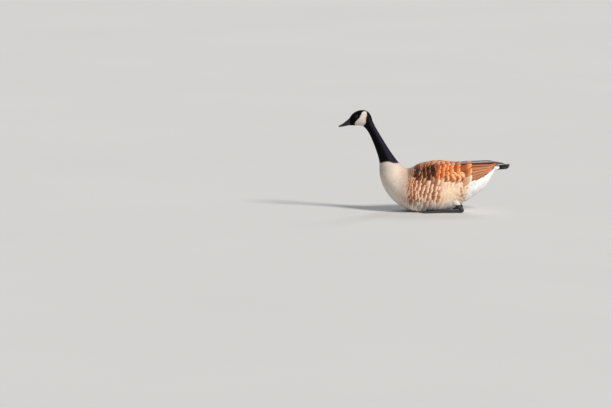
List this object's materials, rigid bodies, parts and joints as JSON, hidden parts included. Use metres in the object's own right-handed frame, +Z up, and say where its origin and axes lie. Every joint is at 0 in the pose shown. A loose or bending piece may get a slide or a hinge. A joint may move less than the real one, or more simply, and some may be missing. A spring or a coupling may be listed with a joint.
{
  "type": "canada goose",
  "caption": "Canada goose at rest on its belly with neck raised and wings folded: black head and neck, pale cheek, brown feathered body and wings.",
  "frame": {"origin": "middle of the flat under the belly, on the floor", "axes": "+X from breast to tail (the goose faces -X), +Y to its right side, +Z up"},
  "size_m": [0.6648, 0.1962, 0.3947],
  "materials": {
    "body_plumage": "soft matte feathers, brown with pale edges, pale breast and white vent",
    "neck_plumage": "short black feathers with a faint sheen and a pale cheek patch",
    "flight_feathers": "overlapping brown vanes with pale edges, blackish tips",
    "tail_feathers": "black vanes with a slight sheen",
    "bill": "satin black horn",
    "eye": "wet dark brown",
    "leg_skin": "scaly blackish skin"
  },
  "bodies": {
    "root": {"torso": "body_plumage", "neck_lower": "neck_plumage", "neck_upper": "neck_plumage", "head": "neck_plumage", "bill_upper": "bill", "bill_lower": "bill", "eye_left": "eye", "eye_right": "eye", "wing_left": "flight_feathers", "wing_right": "flight_feathers", "tail": "tail_feathers", "leg_left": "leg_skin", "leg_right": "leg_skin", "foot_left": "leg_skin", "foot_right": "leg_skin"}
  },
  "joints": []
}
